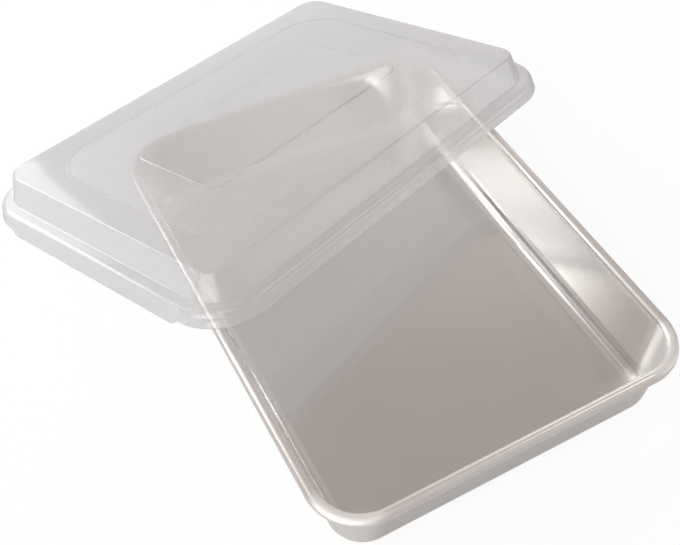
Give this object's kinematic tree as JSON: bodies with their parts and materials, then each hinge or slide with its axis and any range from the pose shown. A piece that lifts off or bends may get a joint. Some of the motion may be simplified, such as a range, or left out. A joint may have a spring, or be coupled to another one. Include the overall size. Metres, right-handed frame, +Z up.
{
  "type": "covered baking pan",
  "caption": "Rectangular cake pan with sloped walls and a wired rolled rim, and a translucent lid with a raised crown that lies askew across it and lifts off.",
  "frame": {"origin": "centre of the underside of the pan's flat base, where it stands on the table", "axes": "+X along the pan's long side towards the uncovered end, +Y across the pan, +Z up"},
  "size_m": [0.4853, 0.4002, 0.0979],
  "materials": {
    "pan_aluminium": "natural satin aluminium sheet",
    "wire_steel": "galvanised wire",
    "lid_plastic": "translucent moulded plastic, with a finely frosted ring on its top"
  },
  "bodies": {
    "pan": {"pan": "pan_aluminium", "rim_wire": "wire_steel"},
    "lid": {"lid": "lid_plastic"}
  },
  "joints": [
    {"name": "lid_lift", "type": "slide", "parent": "pan", "child": "lid", "axis": [0, 0, 1], "range_m": [0, 0.15]}
  ]
}
